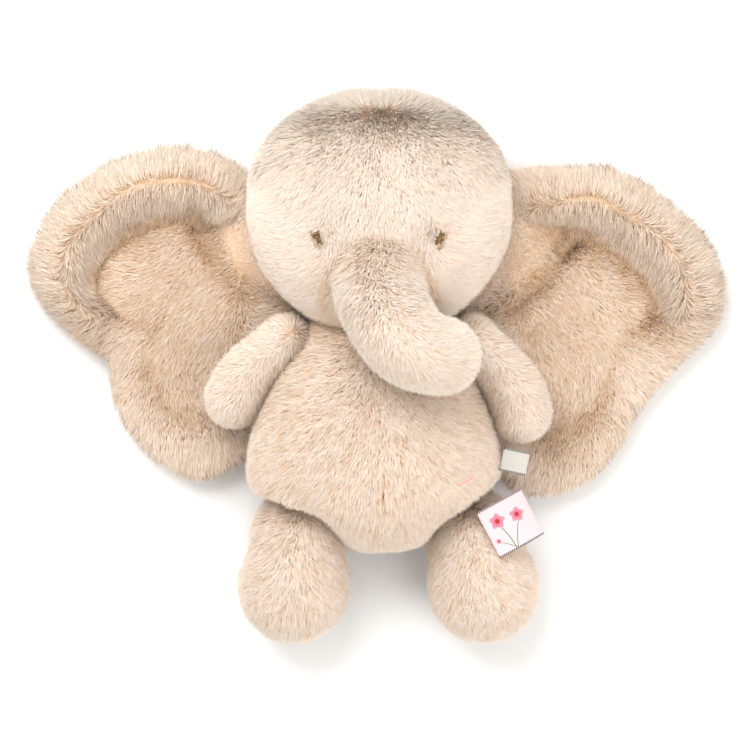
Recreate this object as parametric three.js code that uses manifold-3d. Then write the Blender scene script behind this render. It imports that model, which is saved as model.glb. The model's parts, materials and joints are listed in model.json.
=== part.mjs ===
// A stuffed elephant lying on its back: fur panels sewn over separate stuffing, with joints where the limbs,
// trunk, ears and head are sewn on. Millimetres. +Z points out of the belly, +Y towards the crown of the head,
// +X towards the toy's own left. The origin is on the flat of the back, where the body rests on the floor.

import * as THREE from 'three';
import { mergeVertices } from 'three/addons/utils/BufferGeometryUtils.js';
import Module from 'manifold-3d';

const wasm = await Module();
wasm.setup();

// ---------------------------------------------------------------------------------------------------------
// Driving dimensions
// ---------------------------------------------------------------------------------------------------------

const furThickness = 5; // a panel of backing cloth and pressed pile
const seamGap = 0.3; // between two sewn panels, and between a panel and its stuffing
const jointClearance = 1.2; // between the ball-shaped root of a limb and its socket
const hipClearance = 5; // the belly gives way further round a leg, and round the ribbon on it

const bodyWidth = 115; // across its middle
const bodyLength = 122; // before the neck is cut off
const bodyDepth = 86;
const bodyTaper = 0.25; // share that the shoulders are drawn in by, and the hips let out by
const bodyFullness = 2.8; // 2 is an ellipse, more is squarer
const bodyShift = 5; // how far the middle of the body is above the origin, towards the head
const floorPress = 1; // how much of the body, and of the head, the floor presses flat

const headWidth = 133;
const headLength = 120;
const headDepth = 104;
const headFullness = 2.1;

const neckHeight = 44; // of the middle of the neck seam above the floor
const neckCut = 9; // how much of the top of the body the neck seam cuts off
const headCut = 3; // how much of the bottom of the head it cuts off
const neckSlope = 0.11; // rise over run of the V-shaped neck crease, on the head and on the body

const trunkBallRadius = 23;
const trunkRadius = 17; // just in front of the ball
const trunkTipRadius = 18;
const trunkReach = 45; // from the root down to the tip
const trunkCurl = 36; // how far the tip turns towards the toy's left
const trunkRise = 29; // how far the trunk bows out in front of its root
const trunkRootDrop = 26; // below the middle of the face
const trunkSink = 9; // how deep the ball's middle sits in the face
const trunkBow = 0.33; // how far down the trunk it stands out furthest, as a share of its length

const earReach = 124; // from the hinge to the outermost edge
const earHeight = 166; // from the lowest lobe to the top edge
const earThickness = 16;
const earRimCurl = 13; // how far the outer rim curls up off the floor
const earHingeHeight = 19; // above the floor
const earInset = 14; // of the hinge from the side of the head
const earDrop = 0.48; // share of the ear's height that hangs below the hinge
const earLift = 2; // of the ear's lower side above the floor
const earEdge = 0.25; // thickness of the outer edge, as a share of the thickness in the middle

const armBallRadius = 14;
const armRadius = 12; // at the shoulder
const armPawRadius = 15;
const armReach = 38; // from the shoulder to the middle of the paw
const armSplay = THREE.MathUtils.degToRad(38); // between the arm and the toy's own length
const armDroop = 6; // how much lower the paw lies than the shoulder
const armBend = 2; // how far the arm bows outwards halfway along
const shoulderSpread = 0.84; // between the shoulders, as a share of the body's width
const shoulderRaise = 4; // of the shoulders over the middle of the body's depth
const shoulderTuck = 5; // how far the top of the shoulder stands above the neck seam

const legBallRadius = 23;
const legRadius = 21; // at the hip
const legFootRadius = 27;
const legReach = 27; // from the hip to the middle of the foot
const legSprawl = 5; // how much further out the foot is than the hip
const legShift = 3; // how far both legs lie over to the toy's left
const legDroop = 1; // how much lower the foot lies than the hip
const hipSpread = 0.72; // between the hips, as a share of the body's width
const hipDrop = 0.82; // of the hips below the body's middle, as a share of its half length

const eyeLength = 9.5;
const eyeWidth = 3;
const eyeSpread = 58; // between the two eyes
const eyeDrop = 15; // below the middle of the face
const eyeLean = 24; // degrees that the top of each eye leans outwards

const ribbonWidth = 25;
const ribbonReach = 24; // how far the folded loop stands out
const ribbonThickness = 0.5;
const ribbonLoop = 2.4; // outside height of the fold
const ribbonOut = 8; // of the ribbon's upper corner from the hip, towards the side
const ribbonUp = 9; // of that corner from the hip, towards the head
const ribbonTurn = [0, 28, 25]; // degrees about X, Y and Z

const labelWidth = 12.5;
const labelLength = 14;
const labelThickness = 0.6;
const labelOut = 8; // of its middle from the body's widest place
const labelDrop = 12; // of its middle below the body's middle
const labelRaise = 8; // of its middle above the body's middle
const labelTurn = [0, 25, 9]; // degrees about X, Y and Z

const stitchLength = 9;
const stitchThickness = 1;
const stitchGap = 5; // between the top of the leg and the stitch
const stitchTurn = [20, 0, -63]; // degrees about X, Y and Z

// ---------------------------------------------------------------------------------------------------------
// Materials
// ---------------------------------------------------------------------------------------------------------

function cloth(colour) {
  return new THREE.MeshStandardMaterial({ color: colour, roughness: 0.95, metalness: 0 });
}

const fur = cloth(0xdcc6aa);
const innerEarFur = cloth(0xcdb292);
const stuffing = cloth(0xf4f2ec);
const darkThread = cloth(0x3a2a20);
const pinkThread = cloth(0xe0705f);
const wovenTape = cloth(0xece9e2);
const printedRibbon = cloth(0xf3d3d6);

// ---------------------------------------------------------------------------------------------------------
// Turning geometry into solids and back
// ---------------------------------------------------------------------------------------------------------

const X = new THREE.Vector3(1, 0, 0);
const Z = new THREE.Vector3(0, 0, 1);
const origin = new THREE.Vector3(0, 0, 0);
const farAway = 600; // larger than anything in the toy

function vec(x, y, z) {
  return new THREE.Vector3(x, y, z);
}

function mirrored(point, side) {
  return vec(point.x * side, point.y, point.z);
}

// A closed three.js geometry as a manifold solid.
function solidOf(geometry) {
  const bare = geometry.clone();
  bare.deleteAttribute('normal');
  bare.deleteAttribute('uv');
  const merged = mergeVertices(bare);
  return new wasm.Manifold(new wasm.Mesh({
    numProp: 3,
    vertProperties: new Float32Array(merged.attributes.position.array),
    triVerts: new Uint32Array(merged.index.array),
  }));
}

// A solid as a named three.js mesh.
function meshOf(name, solid, material) {
  const { vertProperties, triVerts } = solid.getMesh();
  const geometry = new THREE.BufferGeometry();
  geometry.setAttribute('position', new THREE.BufferAttribute(vertProperties, 3));
  geometry.setIndex(new THREE.BufferAttribute(triVerts, 1));
  geometry.computeVertexNormals();
  const mesh = new THREE.Mesh(geometry, material);
  mesh.name = name;
  return mesh;
}

// Six times the signed volume inside a list of triangles, negative where they face inwards.
function signedVolume(points, faces) {
  let volume = 0;
  for (let k = 0; k < faces.length; k += 3) {
    const [a, b, c] = [points[faces[k]], points[faces[k + 1]], points[faces[k + 2]]];
    volume += a.dot(b.clone().cross(c));
  }
  return volume;
}

// A closed skin through rings of points, shut by one point at each end.
function skin(first, rings, last) {
  const count = rings[0].length;
  const points = [first, ...rings.flat(), last];
  const end = points.length - 1;
  const at = (ring, k) => 1 + ring * count + (k % count);
  const faces = [];
  for (let k = 0; k < count; k += 1) {
    faces.push(0, at(0, k), at(0, k + 1));
    faces.push(end, at(rings.length - 1, k + 1), at(rings.length - 1, k));
    for (let ring = 0; ring < rings.length - 1; ring += 1) {
      faces.push(at(ring, k), at(ring + 1, k), at(ring + 1, k + 1));
      faces.push(at(ring, k), at(ring + 1, k + 1), at(ring, k + 1));
    }
  }
  const geometry = new THREE.BufferGeometry().setFromPoints(points);
  geometry.setIndex(signedVolume(points, faces) < 0 ? faces.reverse() : faces);
  return geometry;
}

function ball(radius, centre) {
  return solidOf(new THREE.SphereGeometry(radius, 12, 8).translate(...centre));
}

// Everything on the side of a plane that its normal points to, starting `above` the point.
function halfSpace(point, normal, above = 0) {
  const block = new THREE.BoxGeometry(farAway, farAway, farAway).translate(0, 0, farAway / 2 + above);
  block.applyQuaternion(new THREE.Quaternion().setFromUnitVectors(Z, normal.clone().normalize()));
  return solidOf(block.translate(...point));
}

// The two parts of a solid on either side of a seam plane, with the seam's gap between them.
function splitAt(solid, point, normal) {
  return [
    solid.intersect(halfSpace(point, normal, seamGap / 2)),
    solid.intersect(halfSpace(point, normal.clone().negate(), seamGap / 2)),
  ];
}

// The cover and the stuffing of a padded part, from a function that gives its solid shrunk by an inset.
function padded(shapeAt) {
  return {
    cover: shapeAt(0).subtract(shapeAt(furThickness)),
    filling: shapeAt(furThickness + seamGap),
  };
}

// ---------------------------------------------------------------------------------------------------------
// Shared shapes
// ---------------------------------------------------------------------------------------------------------

// How wide an egg is at a height from -1 to 1 along it, as a share of its half width: a superellipse, drawn in
// towards its upper end by the taper.
function eggGirth({ fullness, taper }, height) {
  return (1 - Math.min(1, Math.abs(height)) ** fullness) ** (1 / fullness) * (1 - taper * height);
}

// A full egg along Y, with round cross sections stretched to its width and depth.
function egg(size, inset) {
  const rows = 10;
  const around = 20;
  const half = size.half.clone().subScalar(inset);
  const place = (x, y, z) => vec(x, y, z).multiply(half).add(size.centre);
  const rings = [];
  for (let row = 1; row < rows; row += 1) {
    const height = Math.cos(Math.PI * row / rows);
    const radius = eggGirth(size, height);
    rings.push(Array.from({ length: around }, (_, k) => {
      const angle = 2 * Math.PI * k / around;
      return place(radius * Math.cos(angle), height, radius * Math.sin(angle));
    }));
  }
  return solidOf(skin(place(0, 1, 0), rings, place(0, -1, 0)));
}

// A round limb along a curve, from radius `from` to radius `to`, with a half ball at each end.
// `side` is any direction across the curve.
function limb(path, from, to, side, inset) {
  const around = 12;
  const capRows = 3;
  const midRows = 3;
  const ringAt = (share, lean) => {
    const along = path.getTangentAt(share);
    const radius = THREE.MathUtils.lerp(from, to, THREE.MathUtils.smoothstep(share, 0, 1)) - inset;
    const middle = path.getPointAt(share).addScaledVector(along, radius * Math.sin(lean));
    const across = side.clone().addScaledVector(along, -side.dot(along)).normalize();
    const up = along.clone().cross(across);
    return Array.from({ length: around }, (_, k) => {
      const angle = 2 * Math.PI * k / around;
      return middle.clone()
        .addScaledVector(across, radius * Math.cos(lean) * Math.cos(angle))
        .addScaledVector(up, radius * Math.cos(lean) * Math.sin(angle));
    });
  };
  const rings = [];
  for (let row = capRows - 1; row > 0; row -= 1) {
    rings.push(ringAt(0, -Math.PI / 2 * row / capRows));
  }
  for (let row = 0; row <= midRows; row += 1) {
    rings.push(ringAt(row / midRows, 0));
  }
  for (let row = 1; row < capRows; row += 1) {
    rings.push(ringAt(1, Math.PI / 2 * row / capRows));
  }
  return skin(ringAt(0, -Math.PI / 2)[0], rings, ringAt(1, Math.PI / 2)[0]);
}

// A point on the upper side of an egg, at a place across and along it.
function onEgg(size, x, y) {
  const girth = eggGirth(size, (y - size.centre.y) / size.half.y);
  const share = Math.max(0, girth ** 2 - ((x - size.centre.x) / size.half.x) ** 2);
  return vec(x, y, size.centre.z + size.half.z * Math.sqrt(share));
}

// ---------------------------------------------------------------------------------------------------------
// Where things are. The joints of the body are measured from the origin, those of the head from the neck.
// ---------------------------------------------------------------------------------------------------------

const bodyMiddle = vec(0, bodyShift, bodyDepth / 2 - floorPress);
const bodyEgg = {
  half: vec(bodyWidth, bodyLength, bodyDepth).multiplyScalar(0.5),
  centre: bodyMiddle,
  fullness: bodyFullness,
  taper: bodyTaper,
};
const neck = vec(0, bodyMiddle.y + bodyLength / 2 - neckCut, neckHeight);
const shoulder = vec(
  (bodyWidth / 2) * shoulderSpread,
  neck.y - armBallRadius + shoulderTuck,
  bodyMiddle.z + shoulderRaise,
);
const hip = vec(
  (bodyWidth / 2) * hipSpread,
  bodyMiddle.y - (bodyLength / 2) * hipDrop,
  legFootRadius + legDroop,
);
const floorUnderHead = vec(0, 0, -neckHeight);

const headMiddle = vec(0, headLength / 2 - headCut, headDepth / 2 - floorPress - neckHeight);
const headEgg = {
  half: vec(headWidth, headLength, headDepth).multiplyScalar(0.5),
  centre: headMiddle,
  fullness: headFullness,
  taper: 0,
};
const trunkRoot = onEgg(headEgg, 0, headMiddle.y - trunkRootDrop).add(vec(0, 0, -trunkSink));
const earHinge = vec(headWidth / 2 - earInset, 0, earHingeHeight - neckHeight);

function hipOn(side) {
  return mirrored(hip, side).add(vec(legShift, 0, 0));
}

// ---------------------------------------------------------------------------------------------------------
// Limbs and trunk, each around its own joint. Side 1 is the toy's left, side -1 its right.
// ---------------------------------------------------------------------------------------------------------

function armPath(side) {
  const outwards = vec(side * Math.sin(armSplay), -Math.cos(armSplay), 0);
  return new THREE.CatmullRomCurve3([
    origin,
    outwards.clone().multiplyScalar(armReach / 2).add(vec(side * armBend, armBend / 2, -armDroop / 3)),
    outwards.clone().multiplyScalar(armReach).add(vec(0, 0, -armDroop)),
  ]);
}

function armLimb(side, inset) {
  return limb(armPath(side), armRadius, armPawRadius, Z, inset);
}

function armShape(side, inset) {
  return ball(armBallRadius - inset, origin).add(solidOf(armLimb(side, inset)));
}

function legPath(side) {
  return new THREE.CatmullRomCurve3([
    origin,
    vec(side * legSprawl * 0.6, -legReach / 2, -legDroop / 2),
    vec(side * legSprawl, -legReach, -legDroop),
  ]);
}

function legLimb(side, inset) {
  return limb(legPath(side), legRadius, legFootRadius, Z, inset);
}

function legShape(side, inset) {
  return ball(legBallRadius - inset, origin)
    .add(solidOf(legLimb(side, inset)))
    .intersect(halfSpace(vec(0, 0, -hip.z), Z, inset));
}

// Out of the face, down over its full rise, and round towards the toy's left. The shares are of the curl, the
// reach and the rise.
function trunkPath() {
  const shares = [
    [0, 0, 0],
    [0.03, trunkBow, 0.83],
    [0.25, 0.73, 1],
    [0.58, 0.96, 0.66],
    [1, 1, 0.14],
  ];
  return new THREE.CatmullRomCurve3(
    shares.map(([over, down, out]) => vec(over * trunkCurl, -down * trunkReach, out * trunkRise)),
  );
}

// The direction square to the plane that the trunk bends in, upwards.
function trunkSeam() {
  const bow = trunkPath().getPointAt(0.5);
  const seam = bow.cross(trunkPath().getPointAt(1)).normalize();
  return seam.multiplyScalar(Math.sign(seam.y));
}

function trunkShape(inset) {
  return ball(trunkBallRadius - inset, origin)
    .add(solidOf(limb(trunkPath(), trunkRadius, trunkTipRadius, trunkSeam(), inset)));
}

// ---------------------------------------------------------------------------------------------------------
// Ears, each around its own hinge
// ---------------------------------------------------------------------------------------------------------

// The ear's outline as seen from the front, as shares of its reach and height.
function earOutline(side) {
  const shares = [
    [-0.05, 0.86], [0.16, 0.96], [0.4, 1.0], [0.66, 0.95], [0.88, 0.82], [0.99, 0.68], [0.98, 0.53],
    [0.87, 0.41], [0.72, 0.32], [0.67, 0.21], [0.58, 0.1], [0.43, 0.015], [0.26, 0], [0.13, 0.06],
    [0.05, 0.2], [-0.03, 0.36], [-0.06, 0.6],
  ];
  const lowest = -earDrop * earHeight;
  const points = shares.map(([out, up]) => vec(side * out * earReach, lowest + up * earHeight, 0));
  return new THREE.CatmullRomCurve3(points, true);
}

// How high the ear's middle layer lies over the hinge: it falls from there to the floor and curls up again
// towards its upper and outer edge.
function earLie(edge, point, side, scale) {
  const smooth = THREE.MathUtils.smoothstep;
  const fall = earHingeHeight - earThickness / 2 - earLift;
  const rim = smooth(scale, 0.6, 1) * smooth(edge.y, -20, 15) * smooth(side * edge.x, 5, 40);
  return earRimCurl * rim - fall * smooth(side * point.x, 0, 30);
}

// Scales of the rings that an ear is made of: 0 is its middle and 1 its edge.
const earRings = [0.5, 0.75, 0.92, 1];

// A slab that follows the ear, from `under` to `over` its middle layer, which are functions of a ring's scale.
function earSlab(side, scales, under, over, inset) {
  const around = 24;
  const middle = vec(side * earReach * 0.42, earHeight * 0.03, 0);
  const outline = earOutline(side).getSpacedPoints(around).slice(0, around);
  const ring = (scale, lift) => outline.map((edge) => {
    const spoke = edge.clone().sub(middle);
    const point = middle.clone().addScaledVector(spoke, scale * (1 - inset / spoke.length()));
    point.z = earLie(edge, point, side, scale) + lift;
    return point;
  });
  const centre = (lift) => vec(middle.x, middle.y, earLie(middle, middle, side, 0) + lift);
  const rings = [
    ...scales.map((scale) => ring(scale, over(scale))),
    ...scales.toReversed().map((scale) => ring(scale, under(scale))),
  ];
  return solidOf(skin(centre(over(0)), rings, centre(under(0))));
}

function earShape(side, inset) {
  const half = (scale) => (earThickness / 2 - inset) * (1 - (1 - earEdge) * scale ** 8);
  return earSlab(side, earRings, (scale) => -half(scale), half, inset);
}

// Everything that lies higher than `start` over the ear's middle layer.
function overEar(side, start) {
  const beyondEdge = 1.25;
  return earSlab(side, [...earRings, beyondEdge], () => start, () => earThickness * 3, 0);
}

// ---------------------------------------------------------------------------------------------------------
// Body and head, with a socket for everything that is sewn to them
// ---------------------------------------------------------------------------------------------------------

// The space on one side of the neck's V-shaped crease: the head's (up = 1) or the body's (up = -1).
function neckCone(point, up, inset) {
  const start = seamGap + inset;
  const reach = headWidth;
  const outline = [
    new THREE.Vector2(0, start),
    new THREE.Vector2(reach, start + neckSlope * reach),
    new THREE.Vector2(reach, farAway),
    new THREE.Vector2(0, farAway),
  ];
  const cone = new THREE.LatheGeometry(outline, 16);
  if (up < 0) {
    cone.rotateX(Math.PI);
  }
  return solidOf(cone.translate(...point));
}

// How far each limb is swung up to make room for it in the body, in degrees.
const armLifts = [0, 25, 60];
const legLifts = [0, -30, -60];

// The hollow that a limb fits in as it swings up about an axis by each of some angles.
function hollow(limbSkin, ballRadius, room, point, axis, lifts) {
  return lifts.reduce((space, lift) => {
    const turn = new THREE.Matrix4().makeRotationAxis(axis, THREE.MathUtils.degToRad(lift));
    return space.add(solidOf(limbSkin.clone().applyMatrix4(turn.setPosition(point))));
  }, ball(ballRadius + room, point));
}

function bodyShape(inset) {
  let shape = egg(bodyEgg, inset);
  const roomForArm = jointClearance + inset;
  const roomForLeg = hipClearance + inset;
  for (const side of [1, -1]) {
    const armAxis = vec(-Math.cos(armSplay), -side * Math.sin(armSplay), 0);
    const armLimbRoom = armLimb(side, -roomForArm);
    const legLimbRoom = legLimb(side, -roomForLeg);
    shape = shape
      .subtract(hollow(armLimbRoom, armBallRadius, roomForArm, mirrored(shoulder, side), armAxis, armLifts))
      .subtract(hollow(legLimbRoom, legBallRadius, roomForLeg, hipOn(side), X, legLifts));
  }
  return shape
    .intersect(neckCone(neck, -1, inset))
    .intersect(halfSpace(origin, Z, inset));
}

// The round groove along the side of the head that the root of an ear turns in.
function earSocket(side, inset) {
  const radius = earThickness / 2 + 2 + jointClearance + inset;
  const groove = new THREE.CylinderGeometry(radius, radius, 2 * headLength, 12);
  return solidOf(groove.translate(side * earHinge.x, headMiddle.y, earHinge.z));
}

// An embroidered eye, and with a gap added the seat that it is sewn into.
function eyeShape(side, gap) {
  const across = side * eyeSpread / 2;
  const eye = new THREE.CapsuleGeometry(eyeWidth / 2 + gap, eyeLength - eyeWidth, 3, 8);
  eye.rotateZ(-side * THREE.MathUtils.degToRad(eyeLean));
  return solidOf(eye.translate(...onEgg(headEgg, across, headMiddle.y - eyeDrop)));
}

function headShape(inset) {
  let shape = egg(headEgg, inset).subtract(ball(trunkBallRadius + jointClearance + inset, trunkRoot));
  for (const side of [1, -1]) {
    shape = shape
      .subtract(earSocket(side, inset))
      .subtract(eyeShape(side, seamGap + inset));
  }
  return shape
    .intersect(neckCone(origin, 1, inset))
    .intersect(halfSpace(floorUnderHead, Z, inset));
}

// ---------------------------------------------------------------------------------------------------------
// Trim
// ---------------------------------------------------------------------------------------------------------

// A ribbon folded into a flat loop: it leaves the seam along +X, and its width runs along -Y.
function ribbonTag() {
  const radius = ribbonLoop / 2;
  const bend = ribbonReach - radius;
  const shape = new THREE.Shape();
  shape.moveTo(0, 0);
  shape.absarc(bend, radius, radius, -Math.PI / 2, Math.PI / 2, false);
  shape.lineTo(0, ribbonLoop);
  shape.lineTo(0, ribbonLoop - ribbonThickness);
  shape.absarc(bend, radius, radius - ribbonThickness, Math.PI / 2, -Math.PI / 2, true);
  shape.lineTo(0, ribbonThickness);
  const loop = new THREE.ExtrudeGeometry(shape, {
    depth: ribbonWidth,
    bevelEnabled: false,
    curveSegments: 5,
  });
  return solidOf(loop.rotateX(Math.PI / 2));
}

function plate(width, length, thickness) {
  return solidOf(new THREE.BoxGeometry(width, length, thickness));
}

function threadEnd() {
  return solidOf(new THREE.CapsuleGeometry(stitchThickness / 2, stitchLength - stitchThickness, 3, 8));
}

// ---------------------------------------------------------------------------------------------------------
// Assembly
// ---------------------------------------------------------------------------------------------------------

function groupAt(name, point, ...children) {
  const group = new THREE.Group();
  group.name = name;
  group.position.copy(point);
  group.add(...children);
  return group;
}

// A mesh of trim, turned by angles in degrees and then placed.
function trim(name, solid, material, point, turn) {
  const mesh = meshOf(name, solid, material);
  mesh.position.copy(point);
  mesh.rotation.set(...turn.map(THREE.MathUtils.degToRad), 'ZYX');
  return mesh;
}

function limbGroup(name, point, shapeAt, seam, [first, second]) {
  const { cover, filling } = padded(shapeAt);
  const [one, other] = splitAt(cover, origin, seam);
  return groupAt(
    `${name}_joint`,
    point,
    meshOf(`${name}_${first}`, one, fur),
    meshOf(`${name}_${second}`, other, fur),
    meshOf(`${name}_stuffing`, filling, stuffing),
  );
}

function arm(name, side) {
  const paw = armPath(side).getPointAt(1);
  const across = paw.clone().cross(Z);
  const seam = across.cross(paw);
  seam.multiplyScalar(Math.sign(seam.z));
  return limbGroup(name, mirrored(shoulder, side), (inset) => armShape(side, inset), seam, ['front', 'back']);
}

function leg(name, side) {
  const foot = legPath(side).getPointAt(1);
  const seam = foot.clone().cross(Z);
  seam.multiplyScalar(Math.sign(seam.x) * side);
  return limbGroup(name, hipOn(side), (inset) => legShape(side, inset), seam, ['outer', 'inner']);
}

function trunk() {
  return limbGroup('trunk', trunkRoot, trunkShape, trunkSeam(), ['upper', 'under']);
}

function ear(name, side) {
  const { cover, filling } = padded((inset) => earShape(side, inset));
  return groupAt(
    `${name}_hinge`,
    mirrored(earHinge, side),
    meshOf(`${name}_inner`, cover.intersect(overEar(side, seamGap / 2)), innerEarFur),
    meshOf(`${name}_outer`, cover.subtract(overEar(side, -seamGap / 2)), fur),
    meshOf(`${name}_wadding`, filling, stuffing),
  );
}

function head() {
  const { cover, filling } = padded(headShape);
  const [face, back] = splitAt(cover, vec(0, 0, headMiddle.z - headDepth / 8), Z);
  const [left, right] = splitAt(face, origin, X);
  return groupAt(
    'neck_joint',
    neck,
    meshOf('head_face_left', left, fur),
    meshOf('head_face_right', right, fur),
    meshOf('head_back', back, fur),
    meshOf('head_stuffing', filling, stuffing),
    meshOf('eye_left', eyeShape(1, 0), darkThread),
    meshOf('eye_right', eyeShape(-1, 0), darkThread),
    trunk(),
    ear('ear_left', 1),
    ear('ear_right', -1),
  );
}

function body() {
  const { cover, filling } = padded(bodyShape);
  const [front, back] = splitAt(cover, bodyMiddle, Z);
  const [left, right] = splitAt(front, origin, X);
  return [
    meshOf('body_front_left', left, fur),
    meshOf('body_front_right', right, fur),
    meshOf('body_back', back, fur),
    meshOf('body_stuffing', filling, stuffing),
  ];
}

function elephant() {
  const leftLeg = leg('leg_left', 1);
  const onThigh = vec(ribbonOut, ribbonUp, Math.sqrt(legBallRadius ** 2 - ribbonOut ** 2 - ribbonUp ** 2));
  leftLeg.add(trim('ribbon_tag', ribbonTag(), printedRibbon, onThigh, ribbonTurn));

  const besideSeam = vec(bodyWidth / 2 + labelOut, -labelDrop, labelRaise).add(bodyMiddle);
  const aboveHip = onEgg(bodyEgg, hip.x, hip.y + legBallRadius + stitchGap);
  aboveHip.z += 4 * stitchThickness;
  return groupAt(
    'elephant',
    origin,
    ...body(),
    trim('side_label', plate(labelWidth, labelLength, labelThickness), wovenTape, besideSeam, labelTurn),
    trim('hip_stitch', threadEnd(), pinkThread, aboveHip, stitchTurn),
    head(),
    arm('arm_left', 1),
    arm('arm_right', -1),
    leftLeg,
    leg('leg_right', -1),
  );
}

export default elephant();
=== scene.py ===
"""A stuffed elephant lying on its back.

It has fur pile on padded skins, stitched eyes, a printed ribbon and a label. Sizes are in millimetres and
become metres as each mesh is made. +Z points out of the belly, +Y towards the crown of the head, and +X
towards the toy's own left. The origin is on the flat of the back.
"""

import itertools
import json
import math

import bpy
import numpy as np
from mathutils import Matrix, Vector


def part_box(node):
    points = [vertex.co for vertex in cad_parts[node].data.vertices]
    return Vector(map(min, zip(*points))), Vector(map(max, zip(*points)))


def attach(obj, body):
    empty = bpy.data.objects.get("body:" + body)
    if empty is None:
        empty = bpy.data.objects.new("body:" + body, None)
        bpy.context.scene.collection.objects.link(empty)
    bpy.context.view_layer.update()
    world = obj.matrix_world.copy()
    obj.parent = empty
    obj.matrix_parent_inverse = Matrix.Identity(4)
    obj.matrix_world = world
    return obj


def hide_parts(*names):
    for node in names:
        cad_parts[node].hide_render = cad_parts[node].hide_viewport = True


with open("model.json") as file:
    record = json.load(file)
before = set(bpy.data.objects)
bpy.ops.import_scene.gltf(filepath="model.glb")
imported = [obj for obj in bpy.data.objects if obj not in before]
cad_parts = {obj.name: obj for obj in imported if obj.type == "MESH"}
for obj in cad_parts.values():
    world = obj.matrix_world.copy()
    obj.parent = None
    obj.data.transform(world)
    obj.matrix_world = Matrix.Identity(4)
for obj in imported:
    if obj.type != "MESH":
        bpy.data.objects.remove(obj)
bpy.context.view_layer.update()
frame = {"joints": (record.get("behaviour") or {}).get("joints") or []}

MM = 0.001
UP = np.array([0.0, 0.0, 1.0])
PILE = 5  # that the fur stands over the skin: the CAD surface is the top of the pressed pile
SKIN_FLOOR = 2.5  # lowest height of a skin, which leaves room for the pile pressed under it
HAIR_FLOOR = 0.3  # lowest height of a hair
HAIR_SINK = 0.4  # depth of a hair's root under the skin
FINE = 6.5  # hairs to the square millimetre on the head, trunk, arms and belly
COARSE = 2.0  # and on the back of the head, ears and body, where each hair is also wider
COARSE_WIDTH = 0.6
SIM_FRAMES = 16  # steps of cloth simulation that fill a skin
EYE_LEAN = math.radians(24)  # that the top of each eye leans outwards


# --------------------------------------------------------------------------------------------------
# Numbers
# --------------------------------------------------------------------------------------------------

def unit(vectors):
    """Each vector at length 1."""
    return vectors / np.maximum(np.linalg.norm(vectors, axis=-1, keepdims=True), 1e-9)


def vec(*numbers):
    """These numbers as one vector of floats."""
    return np.array(numbers, float)


def smooth(x, low, high):
    """0 at low, 1 at high, and a cubic S between them."""
    t = np.clip((x - low) / (high - low), 0, 1)
    return t * t * (3 - 2 * t)


def bell(x, middle, width):
    """A bell curve of height 1."""
    return np.exp(-(((x - middle) / width) ** 2))


def lattice(cells, seed):
    """A fixed number from 0 to 1 for each whole-numbered point: the fraction left of a large sine."""
    return np.mod(np.sin(cells @ vec(127.1, 311.7, 74.7) + 19.19 * seed) * 43758.5453, 1)


def noise(points, size, seed):
    """Smooth random numbers from -1 to 1: the eight corners of each point's cell, blended by cubic steps."""
    cell = np.floor(points / size)
    share = smooth(points / size - cell, 0, 1)
    total = np.zeros(len(points))
    for corner in itertools.product((0, 1), repeat=3):
        weight = np.prod(np.where(corner, share, 1 - share), axis=1)
        total += weight * lattice(cell + corner, seed)
    return 2 * total - 1


def spline(points, count, closed=False):
    """Evenly spaced points on a smooth curve through the given ones: each span is the Catmull-Rom cubic."""
    points = np.array(points, float)
    if closed:
        ends = np.vstack([points[-1:], points, points[:2]])
    else:
        ends = np.vstack([2 * points[0] - points[1], points, 2 * points[-1] - points[-2]])
    t = np.linspace(0, 1, 24, endpoint=False)[None, :, None]
    a, b, c, d = (ends[k : len(ends) - 3 + k][:, None, :] for k in range(4))
    curve = 0.5 * (2 * b + (c - a) * t + (2 * a - 5 * b + 4 * c - d) * t**2 + (3 * b - a - 3 * c + d) * t**3)
    curve = np.vstack([curve.reshape(-1, points.shape[1]), points[0] if closed else points[-1]])
    length = np.concatenate([[0], np.cumsum(np.linalg.norm(np.diff(curve, axis=0), axis=1))])
    at = np.linspace(0, length[-1], count, endpoint=not closed)
    return np.stack([np.interp(at, length, column) for column in curve.T], axis=1)


# --------------------------------------------------------------------------------------------------
# Meshes
# --------------------------------------------------------------------------------------------------

def new_piece(name, mesh, *materials):
    """A new object in the scene with this mesh and these materials."""
    for material in materials:
        mesh.materials.append(material)
    piece = bpy.data.objects.new(name, mesh)
    bpy.context.scene.collection.objects.link(piece)
    return piece


def skin_mesh(name, first, rings, last):
    """A closed skin through rings of points, shut by one point at each end."""
    rows, count = rings.shape[:2]
    place = 1 + np.arange(rows * count).reshape(rows, count)
    turned = np.roll(place, -1, axis=1)
    end = 1 + rows * count
    sides = np.stack([place[:-1], turned[:-1], turned[1:], place[1:]], axis=-1).reshape(-1, 4)
    caps = [[0, b, a] for a, b in zip(place[0], turned[0])]
    caps += [[end, a, b] for a, b in zip(place[-1], turned[-1])]
    points = np.vstack([first, rings.reshape(-1, 3), last])
    middle = points.mean(axis=0)
    a, b, c = (points[sides[:, k]] - middle for k in range(3))
    faces = [list(face) for face in sides.tolist()] + caps
    if np.einsum("ij,ij->", a, np.cross(b, c)) < 0:
        faces = [face[::-1] for face in faces]
    mesh = bpy.data.meshes.new(name)
    mesh.from_pydata((points * MM).tolist(), [], faces)
    mesh.shade_smooth()
    return mesh


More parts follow.
